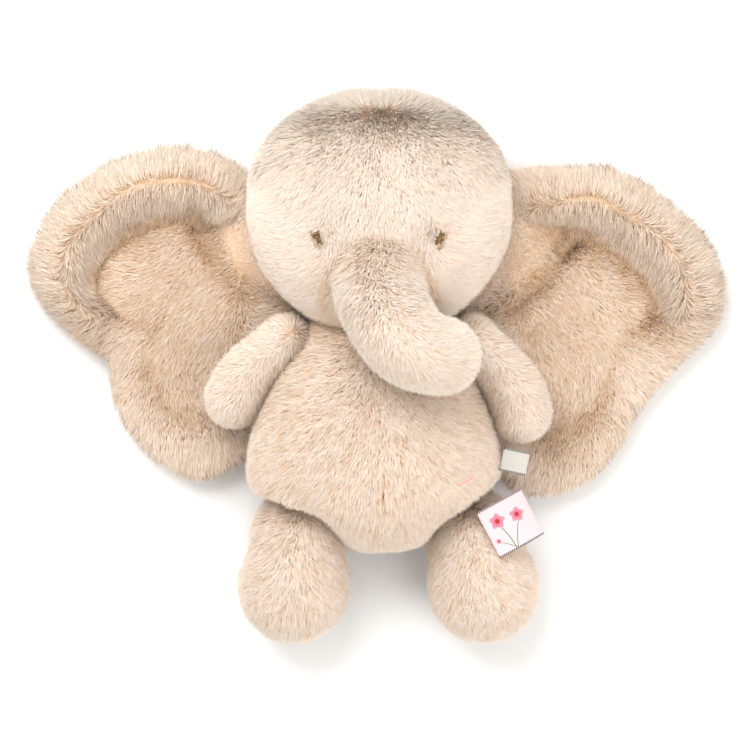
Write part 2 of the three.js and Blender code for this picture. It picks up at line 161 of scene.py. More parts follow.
def grid_mesh(name, points, uv):
    """An open sheet through a grid of points, with a map that gives each point its own place."""
    rows, count = points.shape[:2]
    place = np.arange(rows * count).reshape(rows, count)
    corners = [place[:-1, :-1], place[:-1, 1:], place[1:, 1:], place[1:, :-1]]
    faces = np.stack(corners, axis=-1).reshape(-1, 4)
    mesh = bpy.data.meshes.new(name)
    mesh.from_pydata((points.reshape(-1, 3) * MM).tolist(), [], faces.tolist())
    mesh.shade_smooth()
    layer = mesh.uv_layers.new(name="OFBake")
    layer.uv.foreach_set("vector", uv.reshape(-1, 2)[faces.ravel()].astype(np.float32).ravel())
    return mesh


def applied(piece):
    """Makes the mesh that the piece's modifiers show its own mesh, and removes them."""
    shown = piece.evaluated_get(bpy.context.evaluated_depsgraph_get())
    mesh = bpy.data.meshes.new_from_object(shown)
    piece.modifiers.clear()
    old = piece.data
    piece.data = mesh
    bpy.data.meshes.remove(old)
    mesh.name = piece.name


def places(mesh):
    """The mesh's points in mm."""
    found = np.empty(len(mesh.vertices) * 3, np.float32)
    mesh.vertices.foreach_get("co", found)
    return found.reshape(-1, 3).astype(float) / MM


def put_places(mesh, points):
    """Moves the mesh's points to these, given in mm."""
    mesh.vertices.foreach_set("co", (points * MM).astype(np.float32).ravel())
    mesh.update()


def stuffed(piece, voxel=4.0, swell=2.5, pressure=4.0):
    """Fills the skin: an even remesh, swollen by cloth simulation and moved by at most `swell` mm,
    then rounded."""
    even = piece.modifiers.new("even", "REMESH")
    even.mode = "VOXEL"
    even.voxel_size = voxel * MM
    even.use_smooth_shade = True
    applied(piece)
    flat = places(piece.data)
    cloth = piece.modifiers.new("filling", "CLOTH")
    cloth.settings.use_pressure = True
    cloth.settings.uniform_pressure_force = pressure
    cloth.settings.effector_weights.gravity = 0
    cloth.point_cache.frame_start = 1
    cloth.point_cache.frame_end = SIM_FRAMES
    for step in range(1, SIM_FRAMES + 1):
        bpy.context.scene.frame_set(step)
    shown = piece.evaluated_get(bpy.context.evaluated_depsgraph_get())
    moved = places(shown.data) - flat
    piece.modifiers.clear()
    far = np.linalg.norm(moved, axis=1, keepdims=True)
    put_places(piece.data, flat + moved * np.minimum(1, swell / np.maximum(far, 1e-9)))
    bpy.context.scene.frame_set(1)
    rounded = piece.modifiers.new("rounded", "SUBSURF")
    rounded.levels = 1
    rounded.render_levels = 1
    applied(piece)
    piece.data.shade_smooth()
    points = places(piece.data)
    points[:, 2] = np.maximum(points[:, 2], SKIN_FLOOR)
    put_places(piece.data, points)


# --------------------------------------------------------------------------------------------------
# Shader maths
# --------------------------------------------------------------------------------------------------

class Maths:
    """A socket that can be used in expressions. Each expression adds Math nodes to the socket's tree."""

    def __init__(self, nodes, socket):
        self.nodes, self.socket = nodes, socket

    def __add__(self, other):
        return self.nodes.math("ADD", self, other)

    def __sub__(self, other):
        return self.nodes.math("SUBTRACT", self, other)

    def __mul__(self, other):
        return self.nodes.math("MULTIPLY", self, other)

    def __truediv__(self, other):
        return self.nodes.math("DIVIDE", self, other)

    def __rsub__(self, other):
        return self.nodes.math("SUBTRACT", other, self)

    __radd__, __rmul__ = __add__, __mul__


class Nodes:
    """The nodes of one new material."""

    def __init__(self, name):
        self.material = bpy.data.materials.new(name)
        self.material.use_nodes = True
        self.tree = self.material.node_tree
        self.shader = self.tree.nodes["Principled BSDF"]

    def add(self, kind, settings=None, *values, output=0, **named):
        """A node of this type with its settings, then its sockets' values or links, by place or by name."""
        node = self.tree.nodes.new("ShaderNode" + kind)
        for key, value in (settings or {}).items():
            if key == "stops":
                self.stops(node.color_ramp, value)
            else:
                setattr(node, key, value)
        for socket, value in [*zip(node.inputs, values), *((node.inputs[k], v) for k, v in named.items())]:
            self.feed(socket, value)
        return Maths(self, node.outputs[output])

    def math(self, operation, *values):
        """One Math node on these values."""
        return self.add("Math", {"operation": operation}, *values)

    @staticmethod
    def stops(ramp, stops):
        """Gives a colour ramp these stops, each a place and a colour."""
        while len(ramp.elements) < len(stops):
            ramp.elements.new(0.5)
        for element, (place, colour) in zip(ramp.elements, stops):
            element.position, element.color = place, colour

    def feed(self, socket, value):
        """Links a socket, or sets its constant."""
        if isinstance(value, Maths):
            self.tree.links.new(value.socket, socket)
        elif value is not None:
            socket.default_value = value

    def mixed(self, share, first, second):
        """One colour into another by a share from 0 to 1."""
        node = self.tree.nodes.new("ShaderNodeMix")
        node.data_type = "RGBA"
        for socket, value in zip((node.inputs[0], node.inputs[6], node.inputs[7]), (share, first, second)):
            self.feed(socket, value)
        return Maths(self, node.outputs[2])

    def grain(self, size, detail=2.0):
        """Noise in the piece's own space, with waves of about `size` mm."""
        place = self.add("TexCoord", output="Object")
        return self.add("TexNoise", None, Vector=place, Scale=1 / (size * MM), Detail=detail)

    def bump(self, height, depth):
        """A bump of `depth` mm for a height that goes from 0 to 1."""
        return self.add("Bump", None, Height=height, Distance=depth * MM)

    def finish(self, **sockets):
        """The material, with the shader's sockets fed by name."""
        for name, value in sockets.items():
            self.feed(self.shader.inputs[name.replace("_", " ")], value)
        return self.material


def rgb(red, green, blue):
    """A linear colour from the 0 to 255 numbers that a colour chart gives."""
    return tuple((np.array([red, green, blue]) / 255) ** 2.2) + (1.0,)


ROOT = rgb(176, 122, 74)
CREAM = rgb(252, 240, 228)
SAND = rgb(246, 222, 196)
BROWN = rgb(222, 180, 136)
GREY = rgb(210, 198, 184)


def pile_material(name, pale_root, pale_tip, dark_root, dark_tip):
    """Hair that pales from its root to its tip. The map's first number is how pale the whole hair is."""
    n = Nodes(name)
    place = n.add("SeparateXYZ", None, n.add("UVMap", {"uv_map": "OFBake"}))
    along = Maths(n, place.socket.node.outputs["Y"])
    pale = n.add("ValToRGB", {"stops": [(0.0, pale_root), (0.6, pale_tip), (1.0, pale_tip)]}, along)
    dark = n.add("ValToRGB", {"stops": [(0.0, dark_root), (1.0, dark_tip)]}, along)
    colour = n.mixed(place, dark, pale)
    return n.finish(
        Base_Color=colour, Roughness=0.8, Sheen_Weight=0.35, Sheen_Roughness=0.5, Specular_IOR_Level=0.25,
    )


def skin_material(name, low, high):
    """The close undercoat that shows between the hairs, with a fine grain."""
    n = Nodes(name)
    speckle = n.grain(0.7, 3.0)
    patches = n.grain(9.0, 2.0)
    colour = n.mixed(speckle * 0.7 + patches * 0.3, low, high)
    return n.finish(Base_Color=colour, Roughness=0.9, Specular_IOR_Level=0.2, Normal=n.bump(speckle, 0.8))


fur = pile_material("fur_cream", SAND, CREAM, BROWN, SAND)
fur_warm = pile_material("fur_warm", BROWN, SAND, ROOT, BROWN)
fur_grey = pile_material("fur_grey", BROWN, GREY, ROOT, GREY)
undercoat = skin_material("undercoat", BROWN, SAND)


# --------------------------------------------------------------------------------------------------
# Fur
# --------------------------------------------------------------------------------------------------

def scattered(mesh, density, rng):
    """Random places on a mesh, `density` to the square millimetre, and the smooth normals there."""
    points = places(mesh)
    normals = np.empty(len(points) * 3, np.float32)
    mesh.vertex_normals.foreach_get("vector", normals)
    normals = normals.reshape(-1, 3).astype(float)
    mesh.calc_loop_triangles()
    corners = np.empty(len(mesh.loop_triangles) * 3, np.int32)
    mesh.loop_triangles.foreach_get("vertices", corners)
    corners = corners.reshape(-1, 3)
    a, b, c = (points[corners[:, k]] for k in range(3))
    area = np.linalg.norm(np.cross(b - a, c - a), axis=1) / 2
    count = int(area.sum() * density)
    chosen = corners[np.searchsorted(np.cumsum(area), rng.random(count) * area.sum()).clip(0, len(area) - 1)]
    first, second = rng.random((2, count))
    root = np.sqrt(first)
    shares = np.stack([1 - root, root * (1 - second), root * second], axis=1)[:, :, None]
    return (points[chosen] * shares).sum(axis=1), unit((normals[chosen] * shares).sum(axis=1))


def pile(name, piece, comb, density, tone, kinds, seed, where=None, length=7.0, lean=(20, 52), width=0.3):
    """Bent hairs, each a narrow kite that is pointed at its root and its tip.

    A hair leaves the skin at the first angle of `lean` to its normal and bends over to the second, along the
    direction that `comb` gives for its root. `where` says which roots have a hair, `tone` how pale it is and
    `kinds` which material it has. Neighbours lean together."""
    rng = np.random.default_rng(seed)
    roots, normals = scattered(piece.data, density, rng)
    if where is not None:
        kept = where(roots, normals)
        roots, normals = roots[kept], normals[kept]
    count = len(roots)
    lie, long, upright = comb(roots, normals)
    along = unit(lie - (lie * normals).sum(axis=1, keepdims=True) * normals)
    across = np.cross(normals, along)
    swing = 0.2 * noise(roots, 4, seed) + 0.25 * noise(roots, 14, seed + 1) + rng.normal(0, 0.2, count)
    along, across = (
        along * np.cos(swing)[:, None] + across * np.sin(swing)[:, None],
        across * np.cos(swing)[:, None] - along * np.sin(swing)[:, None],
    )
    lift = (0.1 * noise(roots, 3, seed + 2) + rng.normal(0, 0.1, count) - upright)[:, None]
    low, high = np.radians(lean[0]) + lift, np.radians(lean[1]) + 1.3 * lift
    uneven = 1 + 0.07 * noise(roots, 5, seed + 3)
    reach = (length * long * uneven * rng.uniform(0.78, 1.08, count))[:, None]
    start = roots - HAIR_SINK * normals
    first = normals * np.cos(low) + along * np.sin(low)
    second = normals * np.cos(high) + along * np.sin(high)
    middle = start + 0.45 * reach * first
    tip = middle + 0.55 * reach * second
    turn = rng.uniform(-0.7, 0.7, count)[:, None]
    flat = across * np.cos(turn) + np.cross(second, across) * np.sin(turn)
    facing = np.cross(flat, second)
    outward = np.sign((facing * normals).sum(axis=1, keepdims=True))
    flat, facing = flat * outward, facing * outward
    half = width / 2 * rng.uniform(0.7, 1.2, count)[:, None]
    points = np.stack([start, middle - half * flat, middle + half * flat, tip], axis=1)
    points[:, :, 2] = np.maximum(points[:, :, 2], HAIR_FLOOR)
    shade = unit(normals + 0.25 * facing + rng.normal(0, 0.08, (count, 3)))
    pale = tone(roots, normals)
    patchy = 0.08 * noise(roots, 7, seed + 4) + 0.16 * noise(roots, 1.4, seed + 5)
    patchy = patchy + rng.normal(0, 0.16, count)
    pale = np.clip(pale + patchy, 0.02, 0.98)
    mesh = hair_mesh(name, points, shade, pale, kinds(roots, normals, rng))
    return new_piece(name, mesh, fur, fur_warm, fur_grey)


def flecked(share):
    """A rule that gives scattered tufts of about 1.5 mm the warm fur, over about this share of the skin."""

    def kinds(points, normals, rng):
        return (noise(points, 1.5, 90) + rng.normal(0, 0.4, len(points)) > 0.95 - share).astype(int)

    return kinds


def hair_mesh(name, points, shade, pale, kind):
    """Two triangles for each hair. The map gives how pale the hair is, and how far along it a point is."""
    count = len(points)
    corners = (4 * np.arange(count)[:, None, None] + np.array([[0, 2, 1], [1, 2, 3]])).reshape(-1, 3)
    mesh = bpy.data.meshes.new(name)
    mesh.vertices.add(4 * count)
    mesh.loops.add(6 * count)
    mesh.polygons.add(2 * count)
    mesh.vertices.foreach_set("co", (points * MM).astype(np.float32).ravel())
    mesh.loops.foreach_set("vertex_index", corners.astype(np.int32).ravel())
    mesh.polygons.foreach_set("loop_start", np.arange(0, 6 * count, 3, dtype=np.int32))
    mesh.polygons.foreach_set("material_index", np.repeat(kind, 2).astype(np.int32))
    layer = mesh.uv_layers.new(name="OFBake")
    uv = np.stack([np.repeat(pale, 4), np.tile([0.02, 0.5, 0.5, 0.98], count)], axis=1)
    layer.uv.foreach_set("vector", uv[corners.ravel()].astype(np.float32).ravel())
    mesh.update(calc_edges=True)
    mesh.shade_smooth()
    mesh.normals_split_custom_set_from_vertices(np.repeat(shade, 4, axis=0).astype(np.float32))
    return mesh


# --------------------------------------------------------------------------------------------------
# Shapes shared by the parts
# --------------------------------------------------------------------------------------------------

def middle_of(*nodes):
    """The middle and half size of some CAD nodes together, in mm."""
    corners = np.array([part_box(node) for node in nodes]) / MM
    low, high = corners[:, 0].min(axis=0), corners[:, 1].max(axis=0)
    return (low + high) / 2, (high - low) / 2


def joint_at(name):
    """A joint's place in mm."""
    joint = next(j for j in frame["joints"] if j["name"] == name)
    return np.array(joint["pos_m"], float) / MM


def egg(centre, half, fullness, taper, rows=40, around=64):
    """A full egg along Y. Its girth at a height h from -1 to 1 is (1 - |h|^f)^(1/f), with f its fullness,
    times 1 less the taper times h."""
    height = np.cos(np.pi * np.arange(1, rows) / rows)[:, None]
    angle = 2 * np.pi * np.arange(around) / around
    girth = (1 - np.abs(height) ** fullness) ** (1 / fullness) * (1 - taper * height)
    rings = np.stack([girth * np.cos(angle), height + 0 * angle, girth * np.sin(angle)], axis=-1)
    pole = vec(0, 1, 0) * half
    return centre + pole, centre + rings * half, centre - pole


def limb(path, radii, side, around=40, caps=8):
    """A round limb along a path with a half ball at each end. Each ring is square to the path there."""
    ahead = unit(np.gradient(path, axis=0))
    lean = np.pi / 2 * np.arange(caps - 1, 0, -1) / caps
    index = np.concatenate([np.zeros(caps - 1, int), np.arange(len(path)), np.full(caps - 1, len(path) - 1)])
    lean = np.concatenate([-lean, np.zeros(len(path)), lean[::-1]])
    along, radius = ahead[index], radii[index]
    across = unit(side - (along @ side)[:, None] * along)
    upward = np.cross(along, across)
    centre = path[index] + along * (radius * np.sin(lean))[:, None]
    angle = 2 * np.pi * np.arange(around) / around
    ring = across[:, None] * np.cos(angle)[:, None] + upward[:, None] * np.sin(angle)[:, None]
    rings = centre[:, None] + ring * (radius * np.cos(lean))[:, None, None]
    return path[0] - ahead[0] * radii[0], rings, path[-1] + ahead[-1] * radii[-1]


def hollowed(points, centre, balls):
    """Pulls points straight towards the centre, to where their ray first enters one of the balls."""
    ray = points - centre
    far = np.linalg.norm(ray, axis=-1)
    ray = ray / far[..., None]
    for middle, radius in balls:
        towards = ray @ (middle - centre)
        inside = towards**2 - (np.sum((middle - centre) ** 2) - radius**2)
        enter = towards - np.sqrt(np.maximum(inside, 0))
        far = np.where((inside > 0) & (enter > 0), np.minimum(far, enter), far)
    return centre + ray * far[..., None]


def padded_skin(name, body, nodes, first, rings, last, fill, **stuffing):
    """A stuffed skin that stands for some CAD nodes."""
    piece = new_piece(name, skin_mesh(name, first, rings, last), undercoat)
    stuffed(piece, **stuffing)
    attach(piece, body)
    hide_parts(*nodes)
    return piece


def coat(piece, body, slot, **fur_values):
    """Fur on a piece, which moves with one body."""
    made = pile(piece=piece, **fur_values)
    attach(made, body)


# --------------------------------------------------------------------------------------------------
# Head
# --------------------------------------------------------------------------------------------------

neck = joint_at("neck_nod")
trunk_root = joint_at("trunk_lift")
HEAD_CENTRE = vec(0, neck[1] + 57, 51)
HEAD_HALF = vec(67.5, 60.5, 52)
FACE_FLOOR = 34  # height that parts the head's fine fur from the coarse fur of its back
EYES = {side: middle_of("eye_left" if side > 0 else "eye_right")[0] for side in (1, -1)}


def head_shape():
    """An egg with a dimple round each eye and a shallow notch along the seam over the crown."""
    first, rings, last = egg(HEAD_CENTRE, HEAD_HALF - PILE, 2.1, 0)
    inwards = unit(HEAD_CENTRE - rings)
    for eye in EYES.values():
        near = np.exp(-(((rings - eye) ** 2).sum(axis=-1)) / 9**2)
        rings = rings + inwards * (3.5 * near)[..., None]
    notch = bell(rings[..., 0], 0, 3) * smooth(rings[..., 1], 150, 165)
    return first + vec(0, -1.5, 0), rings + inwards * (1.8 * notch)[..., None], last


def head_comb(points, normals):
    """Down the forehead to the trunk, back over the crown, out over the cheeks, and away from each eye."""
    x, y, z = points.T
    crown = smooth(y, 150, 174)
    down = np.stack([0.010 * x, 1.2 * crown - 1, -0.9 * crown], axis=1)
    out = np.stack([x, y - trunk_root[1] - 12, -0.3 * np.ones(len(x))], axis=1) / 30
    cheek = smooth(np.abs(x) + 0.9 * (104 - y), 25, 50)[:, None] * smooth(normals[:, 2:], -0.7, 0)
    lie = down * (1 - cheek) + out * cheek
    long = np.ones(len(x))
    for eye in EYES.values():
        away = points - eye
        far = np.linalg.norm(away, axis=1)
        lie = lie + 2.2 * unit(away) * bell(far, 0, 12)[:, None]
        long *= 1 - 0.62 * bell(far, 0, 8)
    cheeks = smooth(np.abs(x), 28, 50) * (1 - smooth(y, 120, 145))
    return lie, long * (1 - 0.2 * cheeks), -0.3 * cheeks


def head_tone(points, normals):
    """Pale, and darker in the crease round the root of the trunk, which is painted shade."""
    x, y, z = points.T
    crease = bell(np.hypot(x, y - 74), 23, 4) * (normals[:, 2] > 0)
    return 0.84 - 0.3 * crease


def head_kinds(points, normals, rng):
    """Grey towards the crown, which is painted shade where the crown turns away from the light, and warm
    round the root of the trunk, which is painted shade in the crease.
    """
    grey = 0.85 * smooth(points[:, 1], 142, 160)
    warm = 0.5 * bell(np.hypot(points[:, 0], points[:, 1] - 74), 23, 5) * (points[:, 2] > 60)
    draw = rng.random(len(points))
    return np.where(draw < grey, 2, np.where(draw < grey + warm, 1, 0))


def away_from_eyes(points):
    """Whether each point is outside the slanting oval that each eye's stitches fill."""
    clear = np.ones(len(points), bool)
    for side, eye in EYES.items():
        lean = side * EYE_LEAN
        across = (points[:, 0] - eye[0]) * math.cos(lean) - (points[:, 1] - eye[1]) * math.sin(lean)
        along = (points[:, 0] - eye[0]) * math.sin(lean) + (points[:, 1] - eye[1]) * math.cos(lean)
        clear &= (across / 1.7) ** 2 + (along / 4.9) ** 2 > 1
    return clear


head = padded_skin(
    "head_skin", "head", ["head_face_left", "head_face_right", "head_back", "head_stuffing"],
    *head_shape(), fill=0.9,
)
face = {"comb": head_comb, "tone": head_tone, "kinds": head_kinds}
coat(head, "head", "fur", name="head_pile_left", density=FINE, seed=11, **face,
     where=lambda p, n: (p[:, 0] >= 0) & (p[:, 2] > FACE_FLOOR) & away_from_eyes(p))
coat(head, "head", "fur", name="head_pile_right", density=FINE, seed=12, **face,
     where=lambda p, n: (p[:, 0] < 0) & (p[:, 2] > FACE_FLOOR) & away_from_eyes(p))
coat(head, "head", "fur", name="head_pile_back", density=COARSE, seed=13, **face,
     where=lambda p, n: p[:, 2] <= FACE_FLOOR, width=COARSE_WIDTH)


# --------------------------------------------------------------------------------------------------
# Trunk
# --------------------------------------------------------------------------------------------------

TRUNK_PATH = spline(trunk_root + vec(
    (0, 14, -20), (0, 0, -9), (1, -17, 4), (8, -32, 13), (18, -42, 10), (30, -45, 0),
).reshape(-1, 3), 40)


def trunk_shape():
    """A tube that starts wide inside the face, narrows, and keeps its width to the blunt tip."""
    share = np.linspace(0, 1, len(TRUNK_PATH))
    radii = 19.5 - 2.5 * smooth(share, 0.2, 0.6) - 2.5 * smooth(share, 0.6, 1)
    seam = unit(np.cross(TRUNK_PATH[20] - TRUNK_PATH[0], TRUNK_PATH[-1] - TRUNK_PATH[0]))
    return limb(TRUNK_PATH, radii, seam)


def path_comb(path):
    """Along a path towards its end, and drooping towards the floor on the sides."""
    steps = unit(np.gradient(path, axis=0))

    def comb(points, normals):
        nearest = np.argmin(((points[:, None, :] - path[None, ::3, :]) ** 2).sum(axis=2), axis=1) * 3
        lie = steps[nearest] - 0.9 * UP
        return lie, np.ones(len(points)), np.zeros(len(points))

    return comb


trunk = padded_skin(
    "trunk_skin", "trunk", ["trunk_upper", "trunk_under", "trunk_stuffing"], *trunk_shape(),
    fill=0.8, voxel=3.0, swell=1.5,
)
# The trunk's hairs are darker towards its root, where it meets the face: painted shade.
coat(trunk, "trunk", "fur", name="trunk_pile", density=FINE, seed=21, comb=path_comb(TRUNK_PATH),
     where=lambda p, n: ((p - HEAD_CENTRE) ** 2 / (HEAD_HALF - 9) ** 2).sum(axis=1) > 1,
     tone=lambda p, n: 0.85 - 0.2 * smooth(p[:, 1], 76, 92), kinds=flecked(0.25))


# --------------------------------------------------------------------------------------------------
# Ears
# --------------------------------------------------------------------------------------------------

RIGHT_OUTLINE = [
    (8, 74), (22, 84), (36, 89), (60, 89), (88, 78), (111, 58), (121, 34), (118, 18), (100, -6), (84, -17),
    (78, -42), (62, -64), (46, -74), (34, -77), (20, -71), (6, -58), (-4, -30), (-17, 6), (-8, 45),
]
LEFT_OUTLINE = [
    (8, 76), (24, 80), (40, 81), (62, 80), (90, 64), (110, 44), (119, 20), (115, -1), (94, -24), (78, -42),
    (66, -62), (50, -78), (34, -84), (20, -84), (8, -76), (-2, -50), (-10, -15), (-17, 10), (-8, 50),
]
EAR_THICK = 4.0  # half of the ear's thickness without its pile
RIM_INSET = 5.5  # from the tips of the pile to the edge of the skin
SEAM_INSET = 13.0  # from the edge to the seam where the back's fur meets the inside's
RIGHT_FOLD = [(38, 62), (30, 38), (18, 23), (-6, 10)]
LEFT_FOLD = [(46, 50), (34, 32), (20, 18), (0, 4)]
# Spots on each ear's own plane where the pile stands open and is painted darker as shade.
RIGHT_SHADE_SPOTS = [(70, 44), (86, -3)]
LEFT_SHADE_SPOTS = [(36, 47), (85, -5), (55, -45), (32, -60)]


class Ear:
    """One ear: its outline around the hinge, and what a point's distance from the edge says about it."""

    def __init__(self, side, outline, fold, shade_spots):
        self.fold, self.shade_spots = spline(fold, 24), np.array(shade_spots, float)
        self.side, self.hinge = side, joint_at("ear_left_flap" if side > 0 else "ear_right_flap")
        self.edge = spline(outline, 96, closed=True)
        self.middle = vec(50, 6)
        spokes = self.edge - self.middle
        inset = 1 - RIM_INSET / np.linalg.norm(spokes, axis=1, keepdims=True)
        self.edge = self.middle + spokes * inset

    def polar(self, points):
        """For places seen from above: their distance from the edge, and how much of a rim the edge has."""
        spokes = self.edge - self.middle
        angles = np.arctan2(spokes[:, 1], spokes[:, 0])
        order = np.argsort(angles)
        x, y = (points - self.middle).T
        angle = np.arctan2(y, x)
        reach = np.interp(angle, angles[order], np.linalg.norm(spokes, axis=1)[order], period=2 * np.pi)
        edge = self.middle + np.stack([np.cos(angle), np.sin(angle)], axis=1) * reach[:, None]
        rim = smooth(edge[:, 1], -16, 20) * smooth(edge[:, 0], 0, 30)
        return reach - np.hypot(x, y), rim

    def folded(self, place, width):
        """1 along the fold that runs down beside the head, and less away from it."""
        far = np.sqrt(((place[:, None, :] - self.fold[None]) ** 2).sum(axis=2).min(axis=1))
        return bell(far, 0, width)

    def heights(self, points):
        """The upper and lower side of the skin over the floor."""
        inset, rim = self.polar(points)
        out, up = points.T
        lie = 10.5 + 8.5 * (1 - smooth(out, -5, 40))
        roll = 12.5 * bell(inset, 11, 11) * rim
        cheek = 6 * bell(out, 20, 16) * bell(up, 34, 26)
        valley = 3.0 * bell(inset, 33, 9) * rim + 4.5 * self.folded(points, 6)
        hump = 3.5 * bell(out, 62, 26) * bell(up, 5, 30)
        lobe = 2.0 * bell(out, 36, 24) * bell(up, -48, 22)
        fold = 1.6 * noise(np.column_stack([points, np.full(len(points), 9.0 + self.side)]), 26, 3)
        edge = np.sqrt(np.clip(1 - (1 - np.clip(inset / 9, 0, 1)) ** 2, 0, 1))
        top = lie + EAR_THICK * edge + roll * smooth(inset, -4, 8)
        top = top + cheek + hump + lobe - valley + fold * edge
        under = lie - EAR_THICK * edge + 0.75 * roll * smooth(inset, -2, 8)
        return top, np.minimum(under, top - 2.5 * edge)

    def place(self, points, height):
        """Points of the ear's own plane, at these heights, in the toy's frame."""
        across = self.hinge[0] + self.side * points[:, 0]
        return np.column_stack([across, self.hinge[1] + points[:, 1], height])

    def shape(self):
        """Rings of the outline, from the middle of the inside over the edge to the middle of the back."""
        scales = np.concatenate([np.linspace(0.06, 0.6, 12), np.linspace(0.64, 1, 18)])
        over, below = [], []
        for scale in scales:
            ring = self.middle + (self.edge - self.middle) * scale
            top, under = self.heights(ring)
            over.append(self.place(ring, top))
            below.append(self.place(ring, under))
        top, under = self.heights(self.middle[None])
        rings = np.stack(over + below[-2::-1])
        return self.place(self.middle[None], top), rings, self.place(self.middle[None], under)

    def local(self, points):
        """Points of the toy's frame, in the ear's own plane."""
        return np.column_stack([(points[:, 0] - self.hinge[0]) * self.side, points[:, 1] - self.hinge[1]])

    def seam(self, points, inset):
        """Distance inside the seam, which wavers a little. Negative is on the outer roll."""
        return inset - SEAM_INSET - 3 * noise(points, 20, 5)

    def comb(self, points, normals):
        """Outwards beyond the seam; inwards and down from the seam into the valley; then fanned over the
        middle from the head to the outer and lower edges."""
        place = self.local(points)
        inset, rim = self.polar(place)
        spoke = place - self.middle
        spoke /= np.maximum(np.linalg.norm(spoke, axis=1, keepdims=True), 1e-6)
        past = self.seam(points, inset)
        inside = smooth(past, -4, 4) * (1 - smooth(past, 14, 24)) * rim
        middle = smooth(inset, 14, 34)
        swirl = noise(np.column_stack([place, np.zeros(len(place))]), 38, 7)
        angle = np.radians(-52) + 0.9 * swirl + 0.016 * place[:, 1]
        fan = np.stack([np.cos(angle), np.sin(angle)], axis=1)
        rolled = np.stack([-0.35 * spoke[:, 0], -0.9 * np.abs(spoke[:, 1]) - 0.3], axis=1)
        flow = spoke * (1 - middle)[:, None] + fan * middle[:, None]
        flow = flow * (1 - inside)[:, None] + 1.4 * rolled * inside[:, None]
        back = normals[:, 2] < 0
        flow[back] = spoke[back]
        lie = np.column_stack([flow[:, 0] * self.side, flow[:, 1], np.zeros(len(flow))])
        open_pile_and_shade = self.open_pile_and_shade(points, normals)
        patch = self.patch(place) * ~back
        roll = rim * (1 - smooth(inset, 22, 32))
        tufts = 1 + roll * (0.25 + 0.2 * noise(points, 6, 9))
        return lie, tufts * (1 - 0.28 * open_pile_and_shade) * (1 - 0.7 * patch), 0.3 * open_pile_and_shade - 0.3 * patch

    def patch(self, place):
        """The smooth short pile beside the head."""
        beside = np.interp(place[:, 1], self.fold[::-1, 1], self.fold[::-1, 0]) - place[:, 0]
        return smooth(beside, 3, 9) * smooth(place[:, 1], 14, 24) * (1 - smooth(place[:, 1], 50, 60))

    def open_pile_and_shade(self, points, normals):
        """Where the pile stands open and its roots show, and where its hairs are painted darker as shade: in
        the valleys, along the fold beside the head, and round the shade spots.
        """
        place = self.local(points)
        inset, rim = self.polar(place)
        ring = bell(inset + 4 * noise(points, 15, 6), 31, 8) * rim * smooth(place[:, 0], 25, 45)
        lower = 0.5 * bell(inset, 24, 10) * (1 - rim) * smooth(place[:, 0], 5, 30)
        far = np.sqrt(((place[:, None, :] - self.shade_spots[None]) ** 2).sum(axis=2).min(axis=1))
        patchy = 0.75 * bell(far, 0, 10) + 0.3 * noise(points, 16, 8) + 0.2 * noise(points, 5, 12)
        return np.clip(ring + self.folded(place, 6) + lower + patchy, 0, 1) * (normals[:, 2] > 0)

    def tone(self, points, normals):
        """Darker with painted shade where the pile stands open: in the valleys, along the fold and round the
        shade spots. Also darker along the seam and a little on the roll.
        """
        place = self.local(points)
        inset, rim = self.polar(place)
        roll = rim * (1 - smooth(inset, 20, 30))
        line = bell(self.seam(points, inset), 0, 2) * rim
        open_pile_and_shade = self.open_pile_and_shade(points, normals)
        speckle = open_pile_and_shade * noise(points, 1.6, 14)
        return 0.6 - 0.05 * roll - 0.4 * open_pile_and_shade - 0.3 * speckle - 0.12 * line

    def kinds(self, points, normals, rng):
        """Grey on the roll, and grey beside the top of the head, which is painted shade. Warm inside, and
        warmer where the pile stands open, which is painted shade.
        """
        place = self.local(points)
        inset, rim = self.polar(place)
        beside = smooth(place[:, 1], 62, 78) * (1 - smooth(place[:, 0], 15, 45))
        grey = np.maximum(0.7 * beside, 0.4 * rim * (1 - smooth(inset, 18, 30)))
        warm = 0.12 + (0.4 + 0.25 * self.open_pile_and_shade(points, normals)) * smooth(inset, 16, 30)
        draw = rng.random(len(points))
        return np.where(draw < grey, 2, np.where(draw < grey + warm, 1, 0))


def make_ear(side, name, outline, fold, shade_spots, seed):
    """An ear's skin and its two coats of fur, with none where the head hides it."""
    ear = Ear(side, outline, fold, shade_spots)
    nodes = [f"{name}_inner", f"{name}_outer", f"{name}_wadding"]
    piece = padded_skin(
        f"{name}_skin", name, nodes, *ear.shape(), fill=0.4, voxel=2.6, swell=1.0, pressure=2.0,
    )
    rules = {"comb": ear.comb, "tone": ear.tone, "kinds": ear.kinds, "length": 8.0, "lean": (22, 54)}
    hidden = HEAD_HALF - 10
    facing_up = 0.05

    def shown(points):
        return ((points - HEAD_CENTRE) ** 2 / hidden**2).sum(axis=1) > 1

    coat(piece, name, "ear_fur", name=f"{name}_pile_inner", density=5.0, seed=seed, **rules,
         where=lambda p, n: (n[:, 2] > facing_up) & shown(p))
    coat(piece, name, "fur", name=f"{name}_pile_outer", density=COARSE, seed=seed + 1, **rules,
         width=COARSE_WIDTH, where=lambda p, n: (n[:, 2] <= facing_up) & shown(p))


make_ear(1, "ear_left", LEFT_OUTLINE, LEFT_FOLD, LEFT_SHADE_SPOTS, 31)
make_ear(-1, "ear_right", RIGHT_OUTLINE, RIGHT_FOLD, RIGHT_SHADE_SPOTS, 33)


# --------------------------------------------------------------------------------------------------
# Legs and arms
# --------------------------------------------------------------------------------------------------

HIPS = {side: joint_at("leg_left_lift" if side > 0 else "leg_right_lift") for side in (1, -1)}
SHOULDERS = {side: joint_at("arm_left_lift" if side > 0 else "arm_right_lift") for side in (1, -1)}


